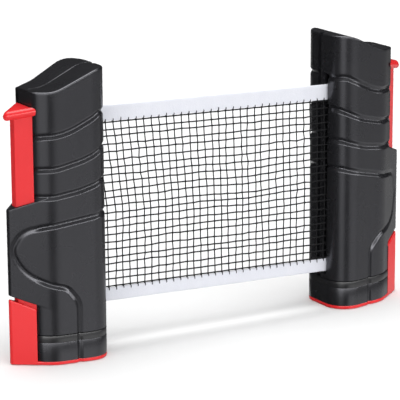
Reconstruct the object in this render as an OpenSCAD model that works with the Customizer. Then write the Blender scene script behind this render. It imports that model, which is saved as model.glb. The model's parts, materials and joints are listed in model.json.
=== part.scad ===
// Portable table tennis net: two clamp posts with spring reels, joined by a net.
// The two posts are the same part, the left one turned half round about the upright axis.
// Post space: x runs outward from the inner end, +y is the side whose shell stands proud,
// z is up from the floor that the closed clamps stand on.

/* [Set] */
// distance between the zero planes of the two posts, just inside their inner ends
gap = 201.5; // [60:0.5:400]
// sideways offset of the net from the middle of a post, where it enters the slot
net_offset = 6; // [5:0.5:8]

/* [Post plan] */
// half thickness of the post, read at the inner end before rounding
side_in = 27.2; // [20:0.1:34]
// half thickness where the broad side turns into the nose
side_out = 20; // [14:0.1:28]
// where the broad side turns into the nose
nose_start = 45; // [35:0.5:60]
// point of the nose before rounding
nose_tip = 71.6; // [60:0.1:90]
// rounding of the inner corner on the proud side
corner_a = 14.5; // [6:0.5:20]
// rounding of the inner corner on the recessed side
corner_b = 16.5; // [6:0.5:20]
// rounding between the broad side and the nose
corner_nose = 13.8; // [4:0.2:20]
// rounding of the nose itself
tip_r = 3; // [1:0.5:8]
// how far a post's inner end stands out past its zero plane
end_out = 1.7; // [0:0.1:3]
// plane where the nose of the casing is cut away for the red slide
cut_x = 53.8; // [45:0.1:62]

/* [Post heights] */
// underside of the casing, the fixed jaw
jaw_z = 22; // [15:0.5:40]
// top of the casing at the inner end
top_z = 211.4; // [150:0.1:260]
// height of the hump near the inner end
hump_z = 212.7; // [150:0.1:260]
// top of the casing at the outer end
low_z = 197.2; // [140:0.1:250]
// net band heights: bottom edge of the net
net_low = 28.6; // [24:0.1:60]
// top edge of the net
net_high = 174.8; // [120:0.1:190]
// width of the tape along the top edge
tape_top = 11.6; // [6:0.1:20]
// width of the tape along the bottom edge
tape_low = 9.8; // [6:0.1:20]

/* [Casing] */
// wall of the moulded casing
wall = 2.4; // [1.6:0.1:4]
// floor of the casing above the fixed jaw
floor_t = 4; // [2:0.1:6]
// width of the moulded groove lines
groove_w = 3; // [1.5:0.1:5]
// depth of the groove lines
groove_d = 1.4; // [0.5:0.1:2]
// where the curved shield over the slide starts, at the cut
shield_top = 118.4; // [90:0.1:140]
// where the shield ends, at the cut
shield_low = 44.6; // [30:0.1:70]

/* [Slide] */
// half width of the red slide at the cut
slide_half = 10.6; // [6:0.1:14]
// point of the slide before rounding
slide_tip = 68.1; // [60:0.1:75]
// top of the red panel at the cut
panel_top = 41.6; // [25:0.1:60]
// thickness of the red foot plate
foot_t = 2.4; // [1.5:0.1:5]
// top of the black lower jaw, under its pad
lower_jaw_top = 16.5; // [8:0.1:20]
// travel of the clamp
travel = 50; // [20:1:60]

/* [Reel] */
// reel axis, outward from the inner end
reel_x = 28; // [22:0.5:34]
// reel axis, off the middle plane
reel_y = 4.5; // [3:0.5:5]
// radius of the wound net
roll_r = 11; // [8:0.1:12]

/* [Hidden] */

black = "#2e2e31";
red = "#ea2f30";
rubber = "#1b1b1d";
steel = "#b4b6ba";
white = "#eef0f6";
cord_black = "#3a3a3f";

tiny = 0.01;
big = 400;
clear = 0.35;
side_slope = (side_out - side_in) / nose_start;
nose_slope = -side_out / (nose_tip - nose_start);
side_unit = sqrt(1 + side_slope * side_slope);
nose_unit = sqrt(1 + nose_slope * nose_slope);

// ---- outlines -------------------------------------------------------------

function unit(v) = v / norm(v);

// points of the arc of radius r that rounds corner p between a and b
function bend(a, p, b, r, n) =
  let (u = unit(a - p), v = unit(b - p), half = acos(u * v) / 2,
       c = p + unit(u + v) * r / sin(half),
       s = p + u * r / tan(half) - c, e = p + v * r / tan(half) - c,
       s_ang = atan2(s[1], s[0]), e_ang = atan2(e[1], e[0]),
       turn = (e_ang - s_ang + 540) % 360 - 180)
  [for (k = [0 : n]) c + r * [cos(s_ang + turn * k / n), sin(s_ang + turn * k / n)]];

// polyline through corners [x, z, radius], with each inner corner rounded
function soft_path(q, n = 8) = concat(
  [[q[0][0], q[0][1]]],
  [for (i = [1 : len(q) - 2])
     for (p = bend([q[i - 1][0], q[i - 1][1]], [q[i][0], q[i][1]],
                   [q[i + 1][0], q[i + 1][1]], q[i][2], n)) p],
  [[q[len(q) - 1][0], q[len(q) - 1][1]]]);

function side_y(x, d) = side_in + side_slope * x - d * side_unit;
function nose_y(x, d) = nose_slope * (x - nose_tip) - d * nose_unit;
function turn_x(d) =
  (side_in - d * side_unit + nose_slope * nose_tip + d * nose_unit)
  / (nose_slope - side_slope);

// half of the post's plan, y from 0 up, drawn in by d
function half_plan(x_in, r_in, d) =
  let (x0 = x_in + d, xt = nose_tip + d * nose_unit / nose_slope,
       p1 = [x0, side_y(x0, d)], p2 = [turn_x(d), side_y(turn_x(d), d)], p3 = [xt, 0])
  concat([[x0, 0]],
         bend([x0, 0], p1, p2, r_in - d, 9),
         bend(p1, p2, p3, corner_nose - d, 7),
         [for (k = [0 : 3]) bend(p2, p3, [p2[0], -p2[1]], max(tip_r - d, 0.4), 6)[k]]);

// the part of an outline on one side of the line at x: keep is 1 for beyond it, -1 for within
function meets(a, b, x) = (a[0] - x) * (b[0] - x) < 0;
function at_x(a, b, x) = [x, a[1] + (b[1] - a[1]) * (x - a[0]) / (b[0] - a[0])];
function part_of(q, x, keep) = [
  for (i = [0 : len(q) - 1])
    let (a = q[i], b = q[(i + 1) % len(q)])
      for (p = concat(keep * (a[0] - x) >= 0 ? [a] : [], meets(a, b, x) ? [at_x(a, b, x)] : []))
        p];

function flip(pts) = [for (i = [len(pts) - 1 : -1 : 0]) [pts[i][0], -pts[i][1]]];
function plan_a(d) = half_plan(-end_out, corner_a, d);
function plan_b(d) = flip(half_plan(-end_out, corner_b, d));
function whole_plan(d) = concat(plan_a(d), [for (p = plan_b(d)) if (p[1] < -tiny) p]);

// arrow-shaped section of the slide, drawn in by d
function arrow(d) =
  let (s = slide_half / (slide_tip - cut_x), u = sqrt(1 + s * s),
       xt = slide_tip - d * u / s, x0 = cut_x + 0.3, y0 = s * (xt - x0))
  concat([[x0, -y0]],
         bend([x0, -y0], [xt, 0], [x0, y0], max(tip_r - d, 0.5), 6),
         [[x0, y0]]);

// wave of the top edge
top_line = soft_path([[-6, top_z], [8.5, hump_z, 25], [39.5, low_z + 0.4, 30],
                      [62, low_z, 0]], 8);

// centre lines of the three wavy grooves, by the height of their flat end
function wave(h, rise) = soft_path([[-6, h + rise - 0.6], [7.5, h + rise + 0.8, 12],
                                    [34, h + 0.4, 40], [80, h - 0.4, 0]], 8);
waves = [wave(167.5, 12.6),
         soft_path([[-6, 160.2, 0], [18, 149.8, 60], [42, 143.9, 60], [80, 143.2, 0]], 8),
         wave(123.4, 10.1)];

// the long groove that sweeps round the shield and runs down to the foot
sweep_a = soft_path([[-6, 111.2, 0], [12, 108.6, 40], [37, 102.6, 60], [58, 102.9, 14],
                     [68.6, 84, 16], [65, 67.5, 10], [49, 60.6, 30], [36.5, 58.3, 14],
                     [25.2, 46, 12], [25.2, -3, 0]], 6);
sweep_b = soft_path([[-6, 111.2, 0], [12, 108.4, 40], [37, 102.2, 60], [57, 102, 14],
                     [68.2, 84, 16], [62, 61, 14], [50, 56.6, 30], [38, 53, 16],
                     [29.7, 42.5, 12], [29.7, -3, 0]], 6);

function normal_at(q, i) =
  let (a = q[max(i - 1, 0)], b = q[min(i + 1, len(q) - 1)], t = unit(b - a)) [-t[1], t[0]];
function band(q, w) = concat(
  [for (i = [0 : len(q) - 1]) q[i] + normal_at(q, i) * w / 2],
  [for (i = [len(q) - 1 : -1 : 0]) q[i] - normal_at(q, i) * w / 2]);

// ---- helpers --------------------------------------------------------------

module post(side) {
  rotate([0, 0, side == "left" ? 180 : 0])
    translate([gap / 2, 0, 0])
      children();
}

// outline given in x and z, run right through the post along y
module through_y(pts, half = 60) {
  translate([0, half, 0])
    rotate([90, 0, 0])
      linear_extrude(2 * half)
        polygon(pts);
}

module upright(pts, z0, z1) {
  translate([0, 0, z0])
    linear_extrude(z1 - z0)
      polygon(pts);
}

module rod(x, y, z0, z1, r) {
  translate([x, y, z0])
    cylinder(r = r, h = z1 - z0, $fn = 48);
}

module box(x0, x1, y0, y1, z0, z1) {
  translate([x0, y0, z0])
    cube([x1 - x0, y1 - y0, z1 - z0]);
}

// slopes of the shield's two edges and of the red panel's edge, seen from the side
rim_slope = -0.3;
hem_slope = 0.41;
lip_slope = 0.45;
function rim(x) = shield_top + rim_slope * (x - cut_x);
function hem(x) = shield_low + hem_slope * (x - cut_x);
function lip(x) = panel_top + lip_slope * (x - cut_x);

near = -8;
far = 80;

// side view of the casing: flat jaw, shield between the nose cut-outs, wavy top
casing_view = concat(
  [[near, jaw_z], [cut_x, jaw_z], [cut_x, hem(cut_x)], [far, hem(far)], [far, rim(far)],
   [cut_x, rim(cut_x)], [cut_x, low_z + 0.1]],
  [for (i = [len(top_line) - 1 : -1 : 0]) if (top_line[i][0] < cut_x - 1) top_line[i]],
  [[near, top_z]]);

// side view of the room inside
room_view = concat(
  [[near, jaw_z + floor_t], [cut_x - wall, jaw_z + floor_t], [cut_x - wall, low_z - wall]],
  [for (i = [len(top_line) - 1 : -1 : 0])
     if (top_line[i][0] < cut_x - 4) top_line[i] - [0, wall]],
  [[near, top_z - wall]]);

// ---- casing ---------------------------------------------------------------

boss_at = [[47, 40], [47, 112], [47, 184], [9.5, 196]];
boss_r = 3;
peg_r = 1.4;
peg_len = 3.5;
fit = 0.05;
pad_t = 1.6;
pad_in = 5;
pad_end = 46;
dock_w = 4.8;
dock_x = 1.3;
dock_wall = 3;
tongue_out = 0.8;
tongue_y = [-2.2, -0.3];
lug_out = 6.2;
lug_t = 2.4;
lug_z = [108, 111.5];

function pad_plan(grow) = part_of(whole_plan(pad_in - grow), pad_end + grow, -1);

// the part of each groove line that lies deeper than its depth is left standing
module groove_cut(proud) {
  difference() {
    union() {
      for (line = waves)
        through_y(band(line, groove_w));
      through_y(band(proud ? sweep_a : sweep_b, groove_w));
    }
    upright(whole_plan(groove_d), -big, big);
  }
}

// the upright run of the long groove, carried on down to the floor on both sides
foot_groove = [25.2, 29.7];
module foot_grooves() {
  for (i = [0, 1]) {
    x0 = foot_groove[i] - groove_w / 2;
    x1 = foot_groove[i] + groove_w / 2;
    way = i == 0 ? 1 : -1;
    upright([[x0, way * side_y(x0, groove_d)], [x1, way * side_y(x1, groove_d)],
             [x1, way * 2 * side_in], [x0, way * 2 * side_in]], -1, jaw_z);
  }
}

module spring_lug() {
  box(cut_x - 1, cut_x + lug_out, 0, lug_t, lug_z[0], lug_z[1]);
}

module pegs(r, depth) {
  for (b = boss_at)
    translate([b[0], 0.5, b[1]])
      rotate([90, 0, 0])
        cylinder(r = r, h = depth + 0.5, $fn = 32);
}

// one moulded half: outer skin, bosses, and the lips at the inner end
module shell_body(proud) {
  plan = proud ? plan_a(0) : plan_b(0);
  room = proud ? plan_a(wall) : plan_b(wall);
  way = proud ? 1 : -1;
  difference() {
    intersection() {
      upright(plan, jaw_z - 1, hump_z + 5);
      through_y(casing_view);
    }
    intersection() {
      upright([for (p = room) [p[0], p[1] - way * tiny]], jaw_z, hump_z + 5);
      through_y(room_view);
    }
  }
  intersection() {
    upright(plan, jaw_z - 1, hump_z + 5);
    through_y(casing_view);
    union() {
      for (b = boss_at)
        translate([b[0], 0, b[1]])
          rotate([-90 * way, 0, 0])
            cylinder(r = boss_r, h = 40, $fn = 32);
      if (proud)
        box(-end_out, dock_x + dock_wall, 0, dock_w + dock_wall, jaw_z, hump_z + 5);
    }
  }
  if (!proud)
    box(-end_out - tongue_out, 1, tongue_y[0], tongue_y[1], jaw_z + floor_t, top_z - 6);
}

module shell(proud) {
  difference() {
    shell_body(proud);
    // the slide's channel, open at both ends of the shield
    difference() {
      upright([for (p = arrow(-clear)) [p[0] - clear, p[1]]], jaw_z - 2, hump_z + 5);
      box(0, cut_x, -40, 40, 0, big);
    }
    if (proud)
      box(-end_out - 1, dock_x, -1, dock_w, jaw_z - 1, big);
    if (!proud)
      box(-end_out - 1, wall + 3, -net_offset - 2, tongue_y[0] - 0.4, jaw_z + floor_t, net_high + 8);
    if (!proud)
      pegs(peg_r + fit, peg_len + 0.5);
    upright(pad_plan(fit), jaw_z - 1, jaw_z + pad_t);
    groove_cut(proud);
  }
  if (proud)
    spring_lug();
  if (proud)
    pegs(peg_r, peg_len);
}

// ---- clamp ----------------------------------------------------------------

slide_x = cut_x + 0.3;
tab_root = 187.5;
tab_drop = 0.235;
tab_t = 6.6;
shaft_low = 40;
pull_low = 50;
pull_x = 58.4;
pull_r = 3;
pull_bore = 2.1;
pull_end = 3;
slide_wall = 2.4;
screw_at = [13, 42];
screw_r = 1.5;
head_r = 2.8;
head_z = [0.2, 0.9];
screw_top = 10.5;

function tab_mid(x) = tab_root - tab_t / 2 - tab_drop * (x - cut_x);

// thumb tab: the nose's own outline, tilted down towards its tip
module tab() {
  intersection() {
    upright(part_of(whole_plan(0.5), slide_x, 1), tab_root - 30, tab_root + 5);
    through_y([[cut_x - 2, tab_mid(cut_x - 2) + tab_t / 2],
               [far, tab_mid(far) + tab_t / 2],
               [far, tab_mid(far) - tab_t / 2],
               [cut_x - 2, tab_mid(cut_x - 2) - tab_t / 2]]);
  }
}

// red panel that wraps the foot of the nose
module panel() {
  intersection() {
    upright(part_of(whole_plan(0), slide_x, 1), 0, 60);
    through_y([[slide_x - 1, 0], [far, 0], [far, lip(far)], [slide_x - 1, lip(slide_x - 1)]]);
  }
}

module screw_hole(x) {
  rod(x, 0, -1, foot_t + 1, screw_r + 0.2);
  rod(x, 0, -1, head_z[1], head_r + 0.1);
}

module slide() {
  difference() {
    union() {
      upright(arrow(0), shaft_low, tab_root - tab_t);
      tab();
      panel();
      upright(whole_plan(0), 0, foot_t);
    }
    // hollow of the shaft, open towards the casing
    upright([for (p = arrow(slide_wall)) [p[0] - 0.4, p[1]]], pull_low - 0.3, 172);
    // hollow of the panel, open towards the jaw
    upright([for (p = part_of(whole_plan(slide_wall), slide_x, 1))
               [p[0] < slide_x + tiny ? slide_x - 1 : p[0], p[1]]],
            foot_t, panel_top - 3);
    foot_grooves();
    for (x = screw_at)
      screw_hole(x);
  }
}

jaw_end = cut_x - 0.1;

module lower_jaw() {
  difference() {
    upright(part_of(whole_plan(0), jaw_end, -1), foot_t, lower_jaw_top);
    difference() {
      upright(part_of(whole_plan(wall), jaw_end - wall, -1), foot_t - 1, lower_jaw_top - 2.5);
      for (x = screw_at)
        rod(x, 0, 0, lower_jaw_top, 4);
    }
    for (x = screw_at)
      rod(x, 0, 0, screw_top + 0.5, screw_r);
    foot_grooves();
  }
}

tread = [12, 20, 28, 36, 44];
tread_w = 1.5;
tread_d = 1;
tread_half = 12;

module lower_pad() {
  difference() {
    upright(part_of(whole_plan(0), jaw_end, -1), lower_jaw_top, jaw_z - 0.3);
    for (x = tread)
      box(x - tread_w / 2, x + tread_w / 2, -tread_half, tread_half,
          jaw_z - 0.3 - tread_d, jaw_z);
    foot_grooves();
  }
}

module upper_pad() {
  difference() {
    upright(pad_plan(0), jaw_z, jaw_z + pad_t);
    for (x = tread)
      if (x < pad_end - 4)
        box(x - tread_w / 2, x + tread_w / 2, -tread_half, tread_half,
            jaw_z - 1, jaw_z + tread_d);
  }
}

module jaw_screws() {
  for (x = screw_at)
    difference() {
      union() {
        rod(x, 0, head_z[0], head_z[1], head_r);
        rod(x, 0, head_z[1], screw_top, screw_r);
      }
      box(x - 1.8, x + 1.8, -0.35, 0.35, -1, 0.7);
      box(x - 0.35, x + 0.35, -1.8, 1.8, -1, 0.7);
    }
}

// spring that pulls the slide up, hidden in the slide's shaft
module clamp_spring() {
  difference() {
    rod(pull_x, 0, pull_low, lug_z[0], pull_r);
    rod(pull_x, 0, pull_low + pull_end, lug_z[0] - pull_end, pull_bore);
  }
}

// ---- reel -----------------------------------------------------------------

axle_r = 1.5;
spindle_r = 4.5;
stub_r = 3.6;
reel_z = jaw_z + floor_t;
plate_t = 1.6;
flange_r = 9;
flange_t = 0.6;
bulkhead_z = 177;
cup_r = 14.8;
cup_wall = 1.4;
cup_top = 190;
lid_t = 1.4;
plate_x = [12, 43];

module plate(z0, t) {
  upright(part_of(part_of(whole_plan(wall + 0.1), plate_x[0], 1), plate_x[1], -1), z0, z0 + t);
}

module reel_bearing() {
  difference() {
    plate(reel_z, plate_t);
    rod(reel_x, reel_y, 0, 60, axle_r + fit);
  }
}

module reel_axle() {
  rod(reel_x, reel_y, reel_z, cup_top + lid_t + 1, axle_r);
}

module spindle() {
  difference() {
    union() {
      rod(reel_x, reel_y, reel_z + plate_t + 0.3, bulkhead_z - 0.3, spindle_r);
      rod(reel_x, reel_y, bulkhead_z - 1, cup_top - 0.3, stub_r);
      rod(reel_x, reel_y, reel_z + plate_t + 0.3, reel_z + plate_t + 0.3 + flange_t, flange_r);
    }
    rod(reel_x, reel_y, 0, big, axle_r + fit);
  }
}

module net_roll() {
  difference() {
    rod(reel_x, reel_y, net_low, net_high, roll_r);
    rod(reel_x, reel_y, 0, big, spindle_r);
  }
}

module spring_bulkhead() {
  difference() {
    union() {
      plate(bulkhead_z, plate_t);
      rod(reel_x, reel_y, bulkhead_z, cup_top, cup_r);
    }
    rod(reel_x, reel_y, bulkhead_z + plate_t, cup_top + 1, cup_r - cup_wall);
    rod(reel_x, reel_y, 0, big, stub_r + fit);
  }
}

module spring_lid() {
  difference() {
    rod(reel_x, reel_y, cup_top, cup_top + lid_t, cup_r);
    rod(reel_x, reel_y, 0, big, axle_r + fit);
  }
}

// flat spring wound between the spindle and the cup
coils = 5;
steps = 18;
strip = 0.5;
strip_h = 9;
coil_in = 4.6;
coil_out = cup_r - cup_wall - strip;
function coil_r(k) = coil_in + (coil_out - coil_in) * k / (coils * steps);
function coil_at(k, dr) = (coil_r(k) + dr) * [cos(360 * k / steps), sin(360 * k / steps)];

module retract_spring() {
  last = coils * steps;
  translate([reel_x, reel_y, bulkhead_z + plate_t])
    linear_extrude(strip_h)
      polygon(concat([for (k = [0 : last]) coil_at(k, 0)],
                     [for (k = [last : -1 : 0]) coil_at(k, strip)]));
}

// ---- net ------------------------------------------------------------------

mesh_t = 0.8;
tape_t = 1.6;
mesh_grip = 2;
cord_t = 1;
net_reach = gap / 2 + reel_x - 1.2;
net_turn = -atan2(2 * net_offset, gap);
net_len = 2 * net_reach / cos(net_turn);
mesh_low = net_low + tape_low - mesh_grip;
mesh_high = net_high - tape_top + mesh_grip;
columns = 20;
rows = 10;

module on_net() {
  rotate([0, 0, net_turn])
    children();
}

module net_cords() {
  cell_w = (net_len - cord_t) / columns;
  cell_h = (mesh_high - mesh_low - 2 * mesh_grip) / rows;
  on_net()
    translate([0, mesh_t / 2, 0])
      rotate([90, 0, 0])
        linear_extrude(mesh_t)
          difference() {
            translate([-net_len / 2, mesh_low])
              square([net_len, mesh_high - mesh_low]);
            for (i = [0 : columns - 1], j = [0 : rows - 1])
              translate([-net_len / 2 + cord_t + i * cell_w,
                         mesh_low + mesh_grip + cord_t / 2 + j * cell_h])
                square([cell_w - cord_t, cell_h - cord_t]);
          }
}

// folded tape that holds the edge of the mesh; way is 1 for the top one
module tape(edge, width, way) {
  on_net()
    translate([-net_len / 2, 0, edge])
      rotate([90, 0, 90])
        linear_extrude(net_len)
          difference() {
            translate([-tape_t / 2, way > 0 ? -width : 0])
              square([tape_t, width]);
            translate([-mesh_t / 2, way > 0 ? -width - 1 : width - mesh_grip])
              square([mesh_t, mesh_grip + 1]);
          }
}

// ---- nodes ----------------------------------------------------------------

module proud_shell(side) { color(black) post(side) shell(true); }
module recessed_shell(side) { color(black) post(side) shell(false); }
module clamp_slide(side) { color(red) post(side) slide(); }
module black_jaw(side) { color(black) post(side) lower_jaw(); }
module soft_low(side) { color(rubber) post(side) lower_pad(); }
module soft_high(side) { color(rubber) post(side) upper_pad(); }
module screws(side) { color(steel) post(side) jaw_screws(); }
module pull_spring(side) { color(steel) post(side) clamp_spring(); }
module axle(side) { color(steel) post(side) reel_axle(); }
module bearing(side) { color(black) post(side) reel_bearing(); }
module core(side) { color(black) post(side) spindle(); }
module roll(side) { color(white) post(side) net_roll(); }
module bulkhead(side) { color(black) post(side) spring_bulkhead(); }
module lid(side) { color(black) post(side) spring_lid(); }
module power_spring(side) { color(steel) post(side) retract_spring(); }
module mesh() { color(cord_black) net_cords(); }
module top_tape() { color(white) tape(net_high, tape_top, 1); }
module bottom_tape() { color(white) tape(net_low, tape_low, -1); }

proud_shell("left");  // left_proud_shell
recessed_shell("left");  // left_recessed_shell
clamp_slide("left");  // left_clamp_slide
black_jaw("left");  // left_lower_jaw
soft_low("left");  // left_lower_pad
soft_high("left");  // left_upper_pad
screws("left");  // left_jaw_screws
pull_spring("left");  // left_clamp_spring
axle("left");  // left_reel_axle
bearing("left");  // left_reel_bearing
core("left");  // left_spindle
roll("left");  // left_net_roll
bulkhead("left");  // left_spring_bulkhead
lid("left");  // left_spring_lid
power_spring("left");  // left_retract_spring
proud_shell("right");  // right_proud_shell
recessed_shell("right");  // right_recessed_shell
clamp_slide("right");  // right_clamp_slide
black_jaw("right");  // right_lower_jaw
soft_low("right");  // right_lower_pad
soft_high("right");  // right_upper_pad
screws("right");  // right_jaw_screws
pull_spring("right");  // right_clamp_spring
axle("right");  // right_reel_axle
bearing("right");  // right_reel_bearing
core("right");  // right_spindle
roll("right");  // right_net_roll
bulkhead("right");  // right_spring_bulkhead
lid("right");  // right_spring_lid
power_spring("right");  // right_retract_spring
mesh();  // net_mesh
top_tape();  // net_top_tape
bottom_tape();  // net_bottom_tape
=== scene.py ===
import json
import math

import bpy
import numpy as np
from mathutils import Matrix, Vector


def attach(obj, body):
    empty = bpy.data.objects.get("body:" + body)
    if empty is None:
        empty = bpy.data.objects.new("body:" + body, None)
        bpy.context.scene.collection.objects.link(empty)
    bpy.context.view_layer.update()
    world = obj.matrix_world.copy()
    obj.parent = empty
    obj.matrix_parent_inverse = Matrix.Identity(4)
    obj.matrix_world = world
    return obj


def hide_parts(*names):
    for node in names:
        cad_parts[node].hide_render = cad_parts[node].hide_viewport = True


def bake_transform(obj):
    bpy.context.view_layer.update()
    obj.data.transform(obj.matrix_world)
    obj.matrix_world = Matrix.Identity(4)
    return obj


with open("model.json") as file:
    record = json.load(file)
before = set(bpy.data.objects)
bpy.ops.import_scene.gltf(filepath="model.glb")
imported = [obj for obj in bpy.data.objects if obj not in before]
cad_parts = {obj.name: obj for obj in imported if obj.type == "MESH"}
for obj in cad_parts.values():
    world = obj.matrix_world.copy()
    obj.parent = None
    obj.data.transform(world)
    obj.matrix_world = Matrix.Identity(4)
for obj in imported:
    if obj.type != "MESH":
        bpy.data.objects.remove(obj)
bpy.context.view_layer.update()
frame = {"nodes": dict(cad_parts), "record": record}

bpy.ops.object.select_all(action="DESELECT")
mm = 0.001  # every length below is in millimetres until a mesh is written

# the post stands in its own space: x runs outward from the inner end, +y is the proud half
post = {
    "halfGap": 100.75,
    "endOut": 1.7,
    "sideIn": 27.2,
    "sideOut": 20.35,
    "noseStart": 42.8,
    "noseTip": 71.6,
    "cornerProud": 14.5,
    "cornerRecessed": 16.5,
    "cornerNose": 24.0,
    "tipRadius": 3.0,
    "cutX": 53.8,
    "cutProud": 10.0,
    "cutRecessed": 1.2,
    "wall": 2.4,
    "jawZ": 22.2,
    "topZ": 212.2,
    "humpZ": 213.0,
    "lowZ": 198.4,
    "topRound": 1.2,
    "leastTip": 0.4,
    "leastRound": 0.3,
}
sideSlope = (post["sideOut"] - post["sideIn"]) / post["noseStart"]
noseSlope = -post["sideOut"] / (post["noseTip"] - post["noseStart"])
sideUnit = math.hypot(1, sideSlope)
noseUnit = math.hypot(1, noseSlope)


def bend(a, p, b, radius, steps):
    # arc that rounds the corner p between a and b
    a, p, b = (np.array(q, float) for q in (a, p, b))
    u, v = (a - p) / np.linalg.norm(a - p), (b - p) / np.linalg.norm(b - p)
    half = math.acos(max(-1, min(1, float(u @ v)))) / 2
    centre = p + (u + v) / np.linalg.norm(u + v) * radius / math.sin(half)
    s, e = p + u * radius / math.tan(half) - centre, p + v * radius / math.tan(half) - centre
    start, end = math.atan2(s[1], s[0]), math.atan2(e[1], e[0])
    turn = (end - start + 3 * math.pi) % (2 * math.pi) - math.pi
    angles = [start + turn * k / steps for k in range(steps + 1)]
    return [centre + radius * np.array([math.cos(t), math.sin(t)]) for t in angles]


def softPath(corners, steps=10):
    # polyline through [x, z, radius] with its corners rounded
    points = [np.array(corners[0][:2], float)]
    for i in range(1, len(corners) - 1):
        points += bend(corners[i - 1][:2], corners[i][:2], corners[i + 1][:2], corners[i][2], steps)
    return np.array(points + [np.array(corners[-1][:2], float)])


def along(path, x):
    return np.interp(x, path[:, 0], path[:, 1])


def sideY(x, d):
    return post["sideIn"] + sideSlope * x - d * sideUnit


def noseY(x, d):
    return noseSlope * (x - post["noseTip"]) - d * noseUnit


def run(a, b, n):
    a, b = np.array(a, float), np.array(b, float)
    return [a + (b - a) * k / n for k in range(1, n)]


planSteps = {"flat": 14, "inner": 26, "side": 76, "nose": 9, "front": 30, "tip": 5, "cutArc": 12,
             "lead": 6}


def halfPlan(proud, d=0.0, cut=False):
    # half of the plan drawn in by d, from the seam at the inner end round to the tip of the nose;
    # cut ends it at the flat face that the slide lies on. Every call gives the same number of points
    n = planSteps
    xIn = -post["endOut"] + d
    radius = post["cornerProud"] if proud else post["cornerRecessed"]
    # the side and the nose, both drawn in by d, meet at turnX
    gap = post["sideIn"] - d * sideUnit + noseSlope * post["noseTip"] + d * noseUnit
    turnX = gap / (noseSlope - sideSlope)
    p0, p1 = (xIn, 0), (xIn, sideY(xIn, d))
    p2, p3 = (turnX, sideY(turnX, d)), (post["noseTip"] + d * noseUnit / noseSlope, 0)
    inner = bend(p0, p1, p2, radius - d, n["inner"])
    outer = bend(p1, p2, p3, post["cornerNose"] - d, n["nose"])
    tipRadius = max(post["tipRadius"] - d, post["leastTip"])
    tip = bend(p2, p3, (p2[0], -p2[1]), tipRadius, 2 * n["tip"])[: n["tip"] + 1]
    line = [np.array(p0, float)] + run(p0, inner[0], n["flat"]) + inner
    line += run(inner[-1], outer[0], n["side"]) + outer
    front = run(outer[-1], tip[0], n["front"])
    if cut:
        xc = post["cutX"] - d
        corner = (xc, noseY(xc, d))
        cutRadius = post["cutProud"] if proud else post["cutRecessed"]
        arc = bend(outer[-1], corner, (xc, 0), max(cutRadius - d, post["leastRound"]), n["cutArc"])
        lead = run(outer[-1], arc[0], n["lead"])
        rest = len(front) + len(tip) - len(lead) - len(arc)
        flat = run(arc[-1], (xc, 0), rest) + [np.array((xc, 0.0))]
        line += lead + arc + flat
    else:
        line += front + tip
    line = np.array(line)
    line[-1, 1] = 0
    return line if proud else line * [1, -1]


def wholePlan(d=0.0, cut=False):
    return np.concatenate([halfPlan(True, d, cut), halfPlan(False, d, cut)[-2:0:-1]])


def cutPlan(outline, x, keep):
    # the part of an outline on one side of the line at x: keep is 1 for beyond it, -1 for within
    out = []
    for i, a in enumerate(outline):
        b = outline[(i + 1) % len(outline)]
        if keep * (a[0] - x) >= 0:
            out.append(a)
        if (a[0] - x) * (b[0] - x) < 0:
            out.append(np.array([x, a[1] + (b[1] - a[1]) * (x - a[0]) / (b[0] - a[0])]))
    return np.array(out)


def thinned(points, least=0.6):
    # drops points that stand closer than least, keeping the ends
    out = [points[0]]
    for p in points[1:]:
        if np.linalg.norm(p - out[-1]) > least:
            out.append(p)
    if np.linalg.norm(out[0] - out[-1]) <= least * 0.5:
        out.pop()
    return np.array(out)


slide = {"half": 10.6, "tip": 63.5, "tipHalf": 3.1, "back": 54.1, "round": 0.8, "roundSteps": 6,
         "besideRound": 0.4, "belowRound": 0.3}


def arrow(d, back=None):
    # blunt arrow-shaped section of the slide, drawn in by d and run back to a given plane
    back = slide["back"] if back is None else back
    slope = (slide["half"] - slide["tipHalf"]) / (slide["tip"] - post["cutX"])

    def flank(x):
        return slide["half"] - slope * (x - post["cutX"]) - d * math.hypot(1, slope)

    tip = slide["tip"] - d
    radius = max(slide["round"] - d, post["leastRound"])
    corner = bend((back, flank(back)), (tip, flank(tip)), (tip, 0), radius, slide["roundSteps"])
    start = np.array((back, flank(back)))
    lead = start - corner[0]
    before = corner[0] + lead / np.linalg.norm(lead) * slide["besideRound"]
    upper = [start, before] + corner + [corner[-1] - [0, slide["belowRound"]]]
    return np.array(upper + [p * [1, -1] for p in upper[::-1]])


# the wavy top, then the lines of the grooves: x, z and the radius of each corner
topLine = softPath([[-6, post["topZ"], 0], [8.5, post["humpZ"], 25], [39.5, post["lowZ"] + 0.4, 30],
                    [80, post["lowZ"] - 0.4, 0]], 16)

groove = {"depth": 1.4, "above": 2.5, "below": 3.1, "beside": 2.5, "lip": 0.16, "valley": 0.22,
          "levelTo": 6, "runOutBefore": 0.6, "runOut": 1.8,
          "shieldShare": 0.5, "shieldFrom": 50, "shieldOver": 5}
waves = [
    softPath([[-6, 179.6, 0], [5, 182.2, 10], [33, 168.3, 50], [80, 165.7, 0]]),
    softPath([[-6, 158.4, 0], [2, 156.4, 10], [20, 148.6, 60], [40, 143.9, 50], [80, 142.7, 0]]),
    softPath([[-6, 133.2, 0], [3, 132.8, 8], [24, 126.5, 60], [42, 123.8, 40], [80, 123.4, 0]]),
]
sweepProud = softPath([[-6, 109.6, 0], [8, 107.7, 60], [47, 102.5, 50], [61.2, 98.7, 15],
                       [68, 84.6, 12], [61, 68.6, 26], [48, 60.6, 40], [33.6, 56.6, 11],
                       [25.2, 45.5, 14], [25.2, -3, 0]], 12)
sweepRecessed = softPath([[-6, 112.2, 0], [4, 111, 20], [44, 101.2, 50], [61, 98.6, 6],
                          [64.6, 82, 12], [60.5, 64.5, 14], [52, 57.4, 18], [41, 56.4, 13],
                          [29.2, 45.5, 13], [29.2, -3, 0]], 12)


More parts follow.
